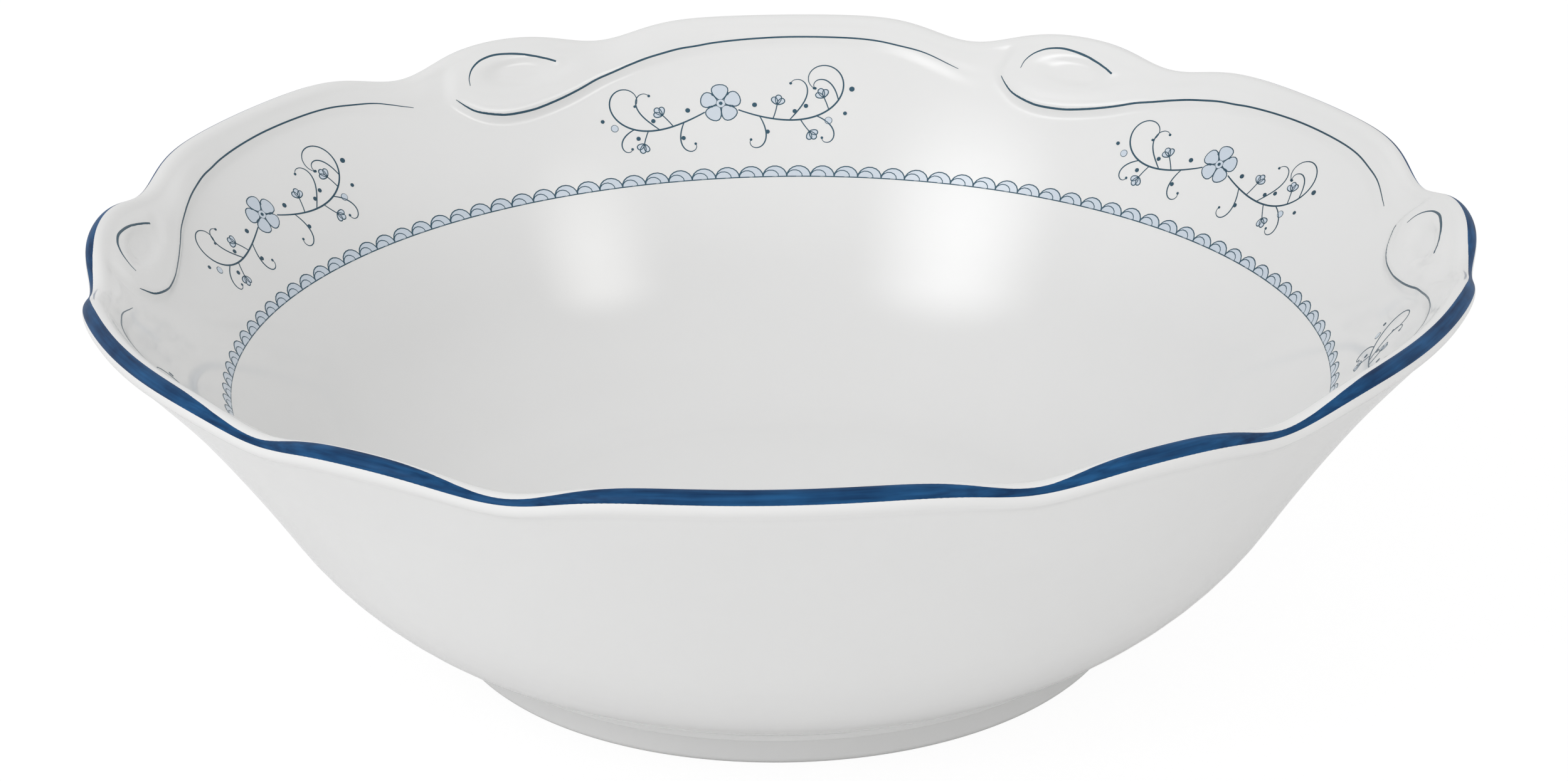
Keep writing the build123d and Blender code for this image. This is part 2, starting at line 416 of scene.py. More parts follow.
# the rim isn't quite level: it lies lower at its two sides, and the wall below it is true
warp = {
    "level": -0.68,
    "tilt": -0.15,              # lower towards the viewer
    "oval": (-0.755, 0.38),     # lower across one diameter than across the other
    "from": 58.0,
    "to": 81.0,
    "blend": 0.4,
}


def sagAt(angle):
    turn = radians(angle)
    ovalCos, ovalSin = warp["oval"]
    sag = warp["level"] + warp["tilt"] * sin(turn) + ovalCos * cos(2 * turn) + ovalSin * sin(2 * turn)
    return smoothMin(sag, 0.0, warp["blend"])


# every piece sinks alike, the painted ones too
def sinkRim(piece):
    for vertex in piece.data.vertices:
        height = vertex.co.z / mm
        if height > warp["from"]:
            vertex.co.z += sagAt(turnOf(vertex.co)) * smoothStep(warp["from"], warp["to"], height) * mm


def selectOnly(piece):
    clearSelection()
    piece.select_set(True)
    bpy.context.view_layer.objects.active = piece


def finishMesh(piece, flatAngle=40):
    selectOnly(piece)
    bpy.ops.object.mode_set(mode="EDIT")
    bpy.ops.mesh.select_all(action="SELECT")
    bpy.ops.mesh.normals_make_consistent(inside=False)
    bpy.ops.object.mode_set(mode="OBJECT")
    bpy.ops.object.shade_smooth_by_angle(angle=radians(flatAngle))


def dressPiece(piece, materials, replaced=()):
    sinkRim(piece)
    for material in materials:
        piece.data.materials.append(material)
    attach(piece, "root")
    if replaced:
        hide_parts(*replaced)
    print("finished", piece.name, len(piece.data.polygons), "faces")


def onArc(arc, turn):
    centre, radius, _ = arc
    return centre + Vector((cos(turn), sin(turn))) * radius


# points along a wall arc, evenly spaced round it
def arcRun(arc, startHeight, endHeight, count):
    centre = arc[0]
    first = arcPoint(arc, startHeight) - centre
    last = arcPoint(arc, endHeight) - centre
    begin = atan2(first.y, first.x)
    sweep = (atan2(last.y, last.x) - begin + pi) % (2 * pi) - pi
    return [onArc(arc, begin + sweep * k / count) for k in range(1, count + 1)]


bodyRows = {
    "spin": 328,
    "floor": 9,
    "well": 5,
    "innerBowl": 12,
    "innerFlare": 8,
    "upperInside": 16,
    "lip": 6,
    "upperOutside": 5,
    "outerFlare": 7,
    "outerBowl": 11,
    "underside": 3,
    "cuts": 2,                  # which cut each row from the upper inside to the upper outside in three
    "lobe": 31.0,               # near the middle of a wide lobe, where the outline is drawn
}


# floor, the soft turn up from it, and the inside of the bowl
def innerLower():
    centre, radius, _ = innerBowl
    slope = wall["floorDip"] / wall["wellRadius"]
    floorMiddle = wellEdge.y - wall["floorDip"]
    floorEdge = wall["wellRadius"] - wall["wellBlend"]
    turnFrom = Vector((floorEdge, floorMiddle + slope * floorEdge))
    wellTurn = atan2(wellEdge.y - centre.y, wellEdge.x - centre.x)
    wallTurn = wellTurn + wall["wellBlend"] / radius
    turnTo = onArc(innerBowl, wallTurn)
    points = []
    for k in range(bodyRows["floor"]):
        floorRadius = floorEdge * k / bodyRows["floor"]
        points.append(Vector((floorRadius, floorMiddle + slope * floorRadius)))
    for k in range(bodyRows["well"]):
        share = k / bodyRows["well"]
        points.append(turnFrom * (1 - share)**2 + wellEdge * 2 * share * (1 - share) + turnTo * share**2)
    bellyTurn = atan2(innerBelly.y - centre.y, innerBelly.x - centre.x)
    for k in range(bodyRows["innerBowl"]):
        points.append(onArc(innerBowl, wallTurn + (bellyTurn - wallTurn) * k / bodyRows["innerBowl"]))
    points.append(innerBelly.copy())
    return points + arcRun(innerFlare, innerBelly.y, fineFrom["inside"], bodyRows["innerFlare"])[:-1]


def outerLower():
    points = arcRun(outerFlare, fineFrom["outside"], outerBelly.y, bodyRows["outerFlare"])
    centre = outerBowl[0]
    first = atan2(outerBelly.y - centre.y, outerBelly.x - centre.x)
    last = atan2(outerBase.y - centre.y, outerBase.x - centre.x)
    for k in range(1, bodyRows["outerBowl"] + 1):
        points.append(onArc(outerBowl, first + (last - first) * k / bodyRows["outerBowl"]))
    for k in range(1, bodyRows["underside"] + 1):
        points.append(Vector((wall["baseRadius"] * (1 - k / bodyRows["underside"]), footTop)))
    return points


def makeBody():
    outline = innerLower()
    stations = [-1.0] * len(outline)
    for zone, count in enumerate((bodyRows["upperInside"], bodyRows["lip"], bodyRows["upperOutside"])):
        stations += [zone + k / count for k in range(count)]
    stations.append(3.0)
    outline += [upperPoint(bodyRows["lobe"], station) for station in stations if station >= 0]
    lower = outerLower()
    piece = startPiece("porcelain_bowl", outline + lower, stations=stations + [-1.0] * len(lower))
    spinPiece(bodyRows["spin"])
    # the upper part is cut finer, then every vertex there takes its place on the scalloped section
    values = stationsOf(piece)
    for part in [*piece.data.polygons, *piece.data.edges]:
        part.select = min(values[v] for v in part.vertices) >= 0
    for vertex in piece.data.vertices:
        vertex.select = values[vertex.index] >= 0
    bpy.ops.object.mode_set(mode="EDIT")
    bpy.ops.mesh.select_mode(type="FACE")
    bpy.ops.mesh.subdivide(number_cuts=bodyRows["cuts"], ngon=True)
    bpy.ops.mesh.select_mode(type="VERT")
    bpy.ops.object.mode_set(mode="OBJECT")
    values = stationsOf(piece)
    for vertex in piece.data.vertices:
        if values[vertex.index] >= 0:
            angle = turnOf(vertex.co)
            vertex.co = placeAt(angle, upperPoint(angle, values[vertex.index]))
    finishMesh(piece)
    piece.data.attributes.remove(piece.data.attributes["station"])
    reliefs = [f"scroll_relief_{k}" for k in range(1, panels + 1)]
    dressPiece(piece, [porcelain], ["bowl_body"] + reliefs)


foot = {
    "steps": bodyRows["spin"],  # so that its edges meet the body's
    "waistRadius": 65.0,
    "bottomRadius": 66.1,
    "waistHeight": 5.9,
    "land": (62.2, 65.2),
    "recessRadius": 58.5,
    "recessFlare": 1.2,
    "recessDrop": 1.6,
    "edge": 0.9,
    "collarProud": 1.2,         # the collar stands this much further out than its solid
    "collarLean": 0.1,
    "waistDrop": 0.15,
    # roundings of the corners, from the top of the recess out over the collar, down to the land and back
    "roundings": (0, 0.25, 0.45, 0.6, 0.5, 0.3, 0.5, 1.2),
    "bareBelow": 0.12,          # the land has no glaze
}


# points of a soft corner, as a curve that leaves and meets its two sides
def roundCorner(before, corner, after, radius, count=4):
    start = corner + (before - corner).normalized() * radius
    end = corner + (after - corner).normalized() * radius
    shares = [k / count for k in range(count + 1)]
    return [start * (1 - t)**2 + corner * 2 * t * (1 - t) + end * t**2 for t in shares]


def makeFoot():
    collar = collarRadius + foot["collarProud"]
    corners = [(foot["recessRadius"], footTop), (collar, footTop),
               (collar - foot["collarLean"], foot["waistHeight"]),
               (foot["waistRadius"], foot["waistHeight"] - foot["waistDrop"]),
               (foot["bottomRadius"], foot["edge"]), (foot["land"][1], tableLevel),
               (foot["land"][0], tableLevel),
               (foot["recessRadius"] + foot["recessFlare"], footTop - foot["recessDrop"])]
    corners = [Vector(corner) for corner in corners]
    outline = []
    for k, (corner, rounding) in enumerate(zip(corners, foot["roundings"])):
        after = corners[(k + 1) % len(corners)]
        outline += roundCorner(corners[k - 1], corner, after, rounding) if rounding else [corner]
    piece = startPiece("foot_ring_porcelain", outline, closed=True)
    spinPiece(foot["steps"])
    finishMesh(piece, flatAngle=50)
    dressPiece(piece, [porcelain, biscuit], ["foot_ring"])
    for polygon in piece.data.polygons:
        if max(piece.data.vertices[v].co.z for v in polygon.vertices) < foot["bareBelow"] * mm:
            polygon.material_index = 1


rimLine = {
    "steps": 720,
    "points": 11,
    "proud": 0.03,
    "edgeSunk": 0.03,
    "edgePower": 8,             # the higher, the nearer to its edges the line keeps its thickness
    "sunk": 0.30,
    "sunkShares": (0.8, 0.2),   # where the two sunk points lie between its edges
    "draft": (126, 81),         # the ring is spun here first, and then laid round the lip
    # through one panel: angle, lower and upper edge round the lip in degrees above level, and how
    # much further up the upper edge goes at the front, and less far at the back
    "edges": [(-30, 12, 82, 20), (-20, 13, 80, 20), (-10.6, 20, 52, 5), (-4, 12, 80, 18), (1.5, 11, 84, 20),
              (6, 12, 80, 18), (11.2, 20, 54, 6), (20, 13, 78, 20), (30, 12, 82, 20)],
}


def makeRimLine():
    count = rimLine["points"]
    stations = [k / (count - 1) for k in range(count)] + [2.0, 3.0]
    radius, height = rimLine["draft"]
    outline = [(radius + station, height) for station in stations[:count]]
    outline += [(radius + 3, height - 1), (radius + 1, height - 1)]
    piece = startPiece("rim_line_cobalt", outline, closed=True, stations=stations)
    spinPiece(rimLine["steps"])
    values = stationsOf(piece)
    for vertex in piece.data.vertices:
        angle = turnOf(vertex.co)
        centre, radius, _, _ = lipAt(angle)
        low, high, extra = throughPoints(rimLine["edges"], intoPanel(angle))
        high += extra * sin(radians(angle))
        station = values[vertex.index]
        if station <= 1:
            direction = low + (high - low) * station
            edge = abs(2 * station - 1)**rimLine["edgePower"]
            reach = radius + rimLine["proud"] * (1 - edge) - rimLine["edgeSunk"] * edge
        else:
            direction = low + (high - low) * rimLine["sunkShares"][0 if station == 2.0 else 1]
            reach = radius - rimLine["sunk"]
        vertex.co = placeAt(angle, centre + along(direction) * reach)
    finishMesh(piece, flatAngle=60)
    piece.data.attributes.remove(piece.data.attributes["station"])
    dressPiece(piece, [cobalt], ["rim_line"])


def onInside(angle, base):
    return placeAt(angle, innerPoint(angle, base))


# section of every painted line and blot, in millimetres off the wall and shares of a line's half width
painted = {
    "lineProud": 0.06,
    "lineTop": 0.7,             # half width of its flat top
    "lineShoulder": 0.9,        # how much of its rise the top's corners have
    "lineSide": 1.25,           # its sides meet the wall further out, so that it shows at its width
    "lineSideSunk": 0.04,
    "lineKeel": 0.16,
    "blotProud": 0.04,
    "blotSunk": 0.12,
    "probe": (0.06, 0.12),      # degrees and millimetres over which the wall's normal is taken
}


# place on the finished inside wall at an angle and a height, and its normal
def wallFrame(angle, height):
    base = height
    # the relief lifts this point a little, and three rounds bring it back to its height
    for _ in range(3):
        base += height - innerPoint(angle, base).y
    aside, rise = painted["probe"]
    right = onInside(angle + aside, base) - onInside(angle - aside, base)
    above = onInside(angle, base + rise) - onInside(angle, base - rise)
    normal = above.cross(right).normalized()
    return onInside(angle, base), normal if normal.z > 0 else -normal


# a smooth chain through points, evenly in its own measure
def smoothRun(points, count):
    spline = [(k, *point) for k, point in enumerate(points)]
    return [throughPoints(spline, (len(points) - 1) * k / (count - 1)) for k in range(count)]


# a thin painted line on the wall; path holds (angle, height), widths are full widths
def addStroke(geometry, path, widths, proud=painted["lineProud"], closed=False, material=0):
    vertices, faces, tints = geometry
    first = len(vertices)
    count = len(path)
    top, shoulder = painted["lineTop"], proud * painted["lineShoulder"]
    edge, sunk = painted["lineSide"], -painted["lineSideSunk"]
    ring = ((-edge, sunk), (-top, shoulder), (top, shoulder), (edge, sunk), (0.0, -painted["lineKeel"]))
    for k, (angle, height) in enumerate(path):
        before = path[k - 1] if closed or k else path[0]
        after = path[(k + 1) % count] if closed or k < count - 1 else path[k]
        degree = radians(arcPoint(innerFlare, height).x)
        right = (after[0] - before[0]) * degree
        rise = (after[1] - before[1]) / up.y
        length = hypot(right, rise) or 1.0
        half = widths[k] / 2 if isinstance(widths, list) else widths / 2
        for side, lift in ring:
            point, normal = wallFrame(angle - rise / length * half * side / degree,
                                      height + right / length * half * side * up.y)
            vertices.append(point + normal * lift * mm)
    size = len(ring)
    for k in range(count if closed else count - 1):
        a, b = first + k * size, first + ((k + 1) % count) * size
        for j in range(size):
            n = (j + 1) % size
            faces.append((a + j, a + n, b + n, b + j))
            tints.append(material)
    if not closed:
        faces.append(tuple(first + j for j in range(size)))
        faces.append(tuple(first + (count - 1) * size + j for j in reversed(range(size))))
        tints += [material, material]


# a small filled shape that lies on the wall; outline holds (angle, height) in order
def addBlot(geometry, outline, proud=painted["blotProud"], material=0):
    vertices, faces, tints = geometry
    first = len(vertices)
    count = len(outline)
    middle = (sum(p[0] for p in outline) / count, sum(p[1] for p in outline) / count)
    for lift in (proud, -painted["blotSunk"]):
        for angle, height in [*outline, middle]:
            point, normal = wallFrame(angle, height)
            vertices.append(point + normal * lift * mm)
    low = first + count + 1
    for k in range(count):
        n = (k + 1) % count
        faces.append((first + k, first + n, first + count))
        faces.append((low + n, low + k, low + count))
        faces.append((first + n, first + k, low + k, low + n))
        tints += [material] * 3


def pieceFrom(name, geometry, flatAngle=60):
    vertices, faces, tints = geometry
    mesh = bpy.data.meshes.new(name)
    mesh.from_pydata(vertices, [], faces)
    piece = bpy.data.objects.new(name, mesh)
    bpy.context.collection.objects.link(piece)
    finishMesh(piece, flatAngle)
    for polygon, tint in zip(piece.data.polygons, tints):
        polygon.material_index = tint
    return piece


# a copy with its own mesh, turned about the axis
def turnedCopy(piece, name, turn):
    copy = piece.copy()
    copy.data = piece.data.copy()
    copy.name = name
    bpy.context.collection.objects.link(copy)
    selectOnly(copy)
    copy.rotation_euler = (0, 0, radians(turn))
    bpy.ops.object.transform_apply(location=False, rotation=True, scale=False)
    return copy


# one for each panel, from the one that is modelled at the first
def sixAround(piece, name, materials):
    for k in range(1, panels):
        copy = turnedCopy(piece, f"{name}_{k + 1}", k * lip["panel"])
        dressPiece(copy, materials)
    piece.name = f"{name}_1"
    dressPiece(piece, materials)


pinstripe = {
    # degrees from the middle of the scroll and height, along each line
    "sweep": [(-6.3, 73.6), (-5.5, 72.1), (-4.6, 70.9), (-3.1, 70.0), (-1.5, 69.4), (0.2, 69.3), (2.1, 69.5),
              (4.0, 70.1), (5.9, 70.9), (7.8, 71.9), (9.7, 73.1), (11.6, 74.0), (13.5, 75.0), (15.4, 75.9),
              (17.3, 76.6), (19.2, 77.2), (21.0, 77.5), (23.5, 78.0), (29.0, 78.5), (34.5, 78.5),
              (38.9, 78.2), (42.2, 77.3), (44.9, 76.3), (47.7, 74.5), (48.8, 73.8)],
    "hook": [(-4.3, 75.7), (-4.1, 77.0), (-3.6, 78.2), (-2.9, 79.1), (-1.95, 79.8), (-0.5, 80.2), (1.1, 80.0),
             (2.6, 79.5), (4.0, 78.7), (5.2, 77.9), (5.8, 77.4)],
    # width at each share of the way
    "sweepWidth": [(0, 0.15), (0.06, 0.40), (0.14, 0.51), (0.42, 0.50), (0.62, 0.46), (0.86, 0.36),
                   (1, 0.12)],
    "hookWidth": [(0, 0.14), (0.3, 0.33), (0.7, 0.46), (1, 0.44)],
    "sweepSteps": 170,
    "hookSteps": 70,
}


def makePinstripes():
    geometry = ([], [], [])
    for line in ("sweep", "hook"):
        count = pinstripe[line + "Steps"]
        widths = [throughPoints(pinstripe[line + "Width"], k / (count - 1))[0] for k in range(count)]
        addStroke(geometry, smoothRun(pinstripe[line], count), widths)
    piece = pieceFrom("scroll_pinstripe", geometry)
    sixAround(piece, "scroll_pinstripe", [ink])


scales = {
    "count": 125,
    "height": 2.4,              # up the wall
    "steps": 9,
    "line": 0.30,
    "linesProud": 0.05,
    "washProud": 0.02,
    "firstAt": 0.36,            # share of a scale by which the first one is turned
    "innerSpan": 0.66,
    "innerHeight": 0.62,
    "innerSteps": 7,
    "innerLine": 0.9,           # its width as a share of the outer line's
    "baseSteps": 720,
}


# half an oval that stands on the border's base line
def scaleArc(middle, halfSpan, height, steps):
    return [(middle - halfSpan * cos(pi * k / steps), borderBase + height * sin(pi * k / steps))
            for k in range(steps + 1)]


def makeScaleBorder():
    pitch = 360 / scales["count"]
    rise = scales["height"] * sin(radians((bellySlope + wall["rimSlope"]) / 2))
    span = pitch * scales["innerSpan"]
    outer = scaleArc(0, pitch / 2, rise, scales["steps"])
    # the inner arc starts where the outer one does, and ends short of it
    inner = scaleArc(-pitch / 2 + span / 2, span / 2, rise * scales["innerHeight"], scales["innerSteps"])
    lines = ([], [], [])
    wash = ([], [], [])
    addStroke(lines, outer, scales["line"], scales["linesProud"])
    addStroke(lines, inner, scales["line"] * scales["innerLine"], scales["linesProud"])
    addBlot(wash, outer, scales["washProud"])
    for name, single, material in (("scale_border_lines", lines, softInk),
                                   ("scale_border_wash", wash, paleWash)):
        whole = ([], [], [])
        for k in range(scales["count"]):
            turn = radians((k - scales["firstAt"]) * pitch)
            first = len(whole[0])
            for v in single[0]:
                turned = (v.x * cos(turn) - v.y * sin(turn), v.x * sin(turn) + v.y * cos(turn), v.z)
                whole[0].append(Vector(turned))
            whole[1].extend(tuple(first + v for v in face) for face in single[1])
            whole[2].extend(single[2])
        dressPiece(pieceFrom(name, whole), [material], ["scale_border"])
    circle = ([], [], [])
    steps = scales["baseSteps"]
    path = [(k * 360 / steps, borderBase) for k in range(steps)]
    addStroke(circle, path, scales["line"], scales["linesProud"], closed=True)
    dressPiece(pieceFrom("scale_border_base_line", circle), [softInk])


sprig = {
    "line": 0.36,
    "blossom": (23.0, 66.4),    # degrees from the middle of the scroll, and height
    "petals": 5,
    "petalLength": 3.7,
    "petalWidth": 3.1,
    "petalFrom": 0.8,           # millimetres from the blossom's middle
    "petalSteps": 18,
    "petalProud": 0.035,
    "petalTaper": (1.1, 0.4),   # fullness of a petal, and how far that moves towards its tip
    "nick": (1.6, 1.6, 0.55),   # dark nicks between the petals: start, length, width
    "eye": (0.95, 0.42),        # radius of its pale middle and of the dark dot there
    "outlineWidth": 0.8,        # outlines round pale shapes, as a share of the line
    "outlineProud": 0.05,
    "paleProud": 0.05,
    "darkProud": 0.065,
    "bigDot": 0.4,              # a dot over this radius is drawn with more points
    "dotSteps": (14, 8),
    "tipDot": 0.9,              # dot at the tip of each curl, as a share of the line
    "taper": (0.4, 0.6),        # a curl's width: the least, and how much more it swells
    "swellFrom": 0.2,
    "stemFrom": 4.2,
    "stemSteps": 70,
    "stemWidth": 1.15,
    "tendrilSteps": 34,
    "tendrilWidth": 0.9,
    "stalkSteps": 6,
    "stalkWidth": 0.7,
    "stalkBend": 3,
    "bendPower": 2.2,
    "budLean": 42,
    "budSide": (1.9, 1.05),     # length and width of a bud's two side petals
    "budMiddle": (2.2, 1.15),
    # stems from the blossom: heading, length, and bend at start and end in degrees for each millimetre
    "stems": [(207, 37, -1.3, -27), (-24, 43, 1.5, 23)],
    # side tendrils: stem, share along it, turn from its heading, length, bends
    "tendrils": [(0, 0.14, 42, 11, 4, 62), (0, 0.30, -48, 13, -1, -46), (0, 0.46, 40, 9, 6, 70),
                 (1, 0.12, -44, 12, -4, -58), (1, 0.27, 50, 14, 1, 44), (1, 0.42, -42, 11, -5, -62),
                 (1, 0.56, 46, 10, 4, 60)],
    # buds: stem, share along it, turn from its heading, stalk length
    "buds": [(0, 0.22, -75, 3.6), (1, 0.19, 78, 3.6), (0, 0.38, 62, 3.4), (1, 0.34, -66, 3.6),
             (1, 0.50, 70, 3.2)],
    # berries: stem, share along it, how far to its left, radius, and whether it is dark
    "berries": [(0, 0.08, -2.2, 0.55, True), (0, 0.19, 3.4, 0.5, True), (0, 0.34, -2.3, 0.5, True),
                (0, 0.43, 2.0, 0.5, True), (0, 0.56, 1.9, 0.75, False), (0, 0.62, 2.9, 0.45, True),
                (1, 0.07, 2.3, 0.55, True), (1, 0.17, -3.3, 0.5, True), (1, 0.30, 2.1, 0.5, True),
                (1, 0.38, 3.0, 0.5, True), (1, 0.47, -2.2, 0.75, False), (1, 0.53, -3.2, 0.45, True),
                (1, 0.64, -1.9, 0.6, True)],
}


# (angle, height) of a place given in millimetres right of the blossom and up the wall from it
def onWall(place):
    angle, height = sprig["blossom"]
    return angle + place[0] / radians(arcPoint(innerFlare, height).x), height + place[1] * up.y


# places and headings along a line whose bend grows towards its end
def curlingRun(start, heading, length, firstBend, lastBend, count):
    place = Vector(start)
    run = []
    step = length / (count - 1)
    for k in range(count):
        run.append((place.copy(), heading))
        heading += (firstBend + (lastBend - firstBend) * (k / (count - 1))**sprig["bendPower"]) * step
        place += along(heading) * step
    return run


def addCurl(geometry, run, thick):
    least, swell = sprig["taper"]
    start = sprig["swellFrom"]
    shares = [min(k / (len(run) - 1) * (1 - start) + start, 1) for k in range(len(run))]
    widths = [sprig["line"] * thick * (least + swell * sin(pi * share)) for share in shares]
    addStroke(geometry, [onWall(place) for place, _ in run], widths)
    addDot(geometry, run[-1][0], sprig["line"] * sprig["tipDot"], True)


# a filled shape, dark all over, or pale with a dark outline
def addShape(geometry, outline, dark, proud):
    addBlot(geometry, outline, proud, 0 if dark else 1)
    if not dark:
        addStroke(geometry, outline, sprig["line"] * sprig["outlineWidth"], sprig["outlineProud"],
                  closed=True)


def addDot(geometry, place, radius, dark):
    count = sprig["dotSteps"][0 if radius > sprig["bigDot"] else 1]
    ring = [onWall(place + Vector((cos(2 * pi * k / count), sin(2 * pi * k / count))) * radius)
            for k in range(count)]
    addShape(geometry, ring, dark, sprig["darkProud" if dark else "paleProud"])


def addPetal(geometry, place, heading, length, width, dark=False):
    fullness, shift = sprig["petalTaper"]
    outline = []
    for k in range(sprig["petalSteps"]):
        t = 2 * pi * k / sprig["petalSteps"]
        forward = along(heading) * (length * (0.5 - 0.5 * cos(t)))
        aside = inward(heading) * (width / 2 * sin(t) * (fullness - shift * cos(t)))
        outline.append(onWall(place + forward + aside))
    addShape(geometry, outline, dark, sprig["petalProud"])


# place and heading at a share of the way along a stem
def alongStem(stem, share):
    return stem[round(share * (len(stem) - 1))]


def makeSprigs():
    geometry = ([], [], [])
    middle = Vector((0, 0))
    nickFrom, nickLength, nickWidth = sprig["nick"]
    between = 180 / sprig["petals"]
    for k in range(sprig["petals"]):
        heading = 90 + 2 * between * k
        addPetal(geometry, along(heading) * sprig["petalFrom"], heading, sprig["petalLength"],
                 sprig["petalWidth"])
        addPetal(geometry, along(heading + between) * nickFrom, heading + between, nickLength, nickWidth,
                 True)
    addDot(geometry, middle, sprig["eye"][0], False)
    addDot(geometry, middle, sprig["eye"][1], True)
    stems = []
    for heading, length, firstBend, lastBend in sprig["stems"]:
        stems.append(curlingRun(along(heading) * sprig["stemFrom"], heading, length, firstBend, lastBend,
                                sprig["stemSteps"]))
        addCurl(geometry, stems[-1], sprig["stemWidth"])
    for stem, share, turn, length, firstBend, lastBend in sprig["tendrils"]:
        place, heading = alongStem(stems[stem], share)
        run = curlingRun(place, heading + turn, length, firstBend, lastBend, sprig["tendrilSteps"])
        addCurl(geometry, run, sprig["tendrilWidth"])
    for stem, share, turn, stalk in sprig["buds"]:
        place, heading = alongStem(stems[stem], share)
        run = curlingRun(place, heading + turn, stalk, sprig["stalkBend"], sprig["stalkBend"],
                         sprig["stalkSteps"])
        addStroke(geometry, [onWall(spot) for spot, _ in run], sprig["line"] * sprig["stalkWidth"])
        tip, facing = run[-1]
        for lean in (-sprig["budLean"], sprig["budLean"]):
            addPetal(geometry, tip, facing + lean, *sprig["budSide"])
        addPetal(geometry, tip, facing, *sprig["budMiddle"])
    for stem, share, leftBy, radius, dark in sprig["berries"]:
        place, heading = alongStem(stems[stem], share)
        addDot(geometry, place + inward(heading) * leftBy, radius, dark)
    piece = pieceFrom("blossom_sprig", geometry)
    sixAround(piece, "blossom_sprig", [ink, paleWash])


# shared by the looks below; the higher a noise's scale, the finer it is
surfaceLook = {
    "rippleScale": 26,
    "rippleDepth": 0.0004,      # metres
    "peelScale": 420,
    "peelDepth": 0.00002,
    "cloudScale": 12,
    "cloudRange": (0.3, 0.7),
    "patchScale": 55,
    "patchGloss": 0.06,         # roughness that the patches add
}
brushLook = {
    "squeeze": 18,              # how much longer a streak is than it is wide
    "streakScale": 75,
    "patchScale": 130,
    "patchShare": 0.4,
    "range": (0.36, 0.64),
}


def joinAll(links, *joins):
    for source, output, target, socket in joins:
        links.new(source.outputs[output], target.inputs[socket])


def setInputs(node, values):
    for socket, value in values.items():
        node.inputs[socket].default_value = value


def addNoise(nodes, scale, detail, dimensions="3D"):
    noise = nodes.new("ShaderNodeTexNoise")
    noise.noise_dimensions = dimensions
    setInputs(noise, {"Scale": scale, "Detail": detail})
    return noise


# a maths node, with its second value set where one is given
def addMaths(nodes, operation, second=None, kind="ShaderNodeMath"):
    maths = nodes.new(kind)
    maths.operation = operation
    if second is not None:
        maths.inputs[1].default_value = second
    return maths


def addVectorMaths(nodes, operation, second=None):
    return addMaths(nodes, operation, second, "ShaderNodeVectorMath")


def addGroup(name, inputs, outputs):
    group = bpy.data.node_groups.new(name, "ShaderNodeTree")
    for socket, kind in inputs:
        group.interface.new_socket(socket, in_out="INPUT", socket_type=kind)
    for socket, kind in outputs:
        group.interface.new_socket(socket, in_out="OUTPUT", socket_type=kind)
    return group, group.nodes.new("NodeGroupInput"), group.nodes.new("NodeGroupOutput")


# two colours mixed by a value that is stretched to its full range first
def addTone(group, entry, leave, value, low, high):
    nodes, links = group.nodes, group.links
    stretch = nodes.new("ShaderNodeMapRange")
    setInputs(stretch, {"From Min": low, "From Max": high})
    tone = nodes.new("ShaderNodeMix")
    tone.data_type = "RGBA"
    links.new(value, stretch.inputs["Value"])
    links.new(stretch.outputs["Result"], tone.inputs["Factor"])
    # this node's colour sockets share their names, so they go by number
    joinAll(links, (entry, "Dark", tone, 6), (entry, "Light", tone, 7), (tone, 2, leave, "Colour"))


# a fired glaze: cloudy colour, uneven gloss, a slow ripple and a fine orange peel
def glazeGroup():
    group, entry, leave = addGroup(
        "firedGlaze",
        [("Dark", "NodeSocketColor"), ("Light", "NodeSocketColor"), ("Gloss", "NodeSocketFloat"),
         ("Ripple", "NodeSocketFloat"), ("Peel", "NodeSocketFloat")],
        [("Colour", "NodeSocketColor"), ("Roughness", "NodeSocketFloat"), ("Normal", "NodeSocketVector")])
    nodes, links = group.nodes, group.links
    place = nodes.new("ShaderNodeTexCoord")
    ripple = addNoise(nodes, surfaceLook["rippleScale"], 2)
    peel = addNoise(nodes, surfaceLook["peelScale"], 2)
    cloud = addNoise(nodes, surfaceLook["cloudScale"], 4)
    patch = addNoise(nodes, surfaceLook["patchScale"], 2)
    for noise in (ripple, peel, cloud, patch):
        links.new(place.outputs["Object"], noise.inputs["Vector"])
    rippleBump = nodes.new("ShaderNodeBump")
    rippleBump.inputs["Distance"].default_value = surfaceLook["rippleDepth"]
    peelBump = nodes.new("ShaderNodeBump")
    peelBump.inputs["Distance"].default_value = surfaceLook["peelDepth"]
    joinAll(links, (entry, "Ripple", rippleBump, "Strength"), (entry, "Peel", peelBump, "Strength"),
            (ripple, "Fac", rippleBump, "Height"), (peel, "Fac", peelBump, "Height"),
            (rippleBump, "Normal", peelBump, "Normal"), (peelBump, "Normal", leave, "Normal"))
    uneven = addMaths(nodes, "MULTIPLY_ADD", surfaceLook["patchGloss"])
    joinAll(links, (patch, "Fac", uneven, 0), (entry, "Gloss", uneven, 2),
            (uneven, "Value", leave, "Roughness"))
    addTone(group, entry, leave, cloud.outputs["Fac"], *surfaceLook["cloudRange"])
    return group


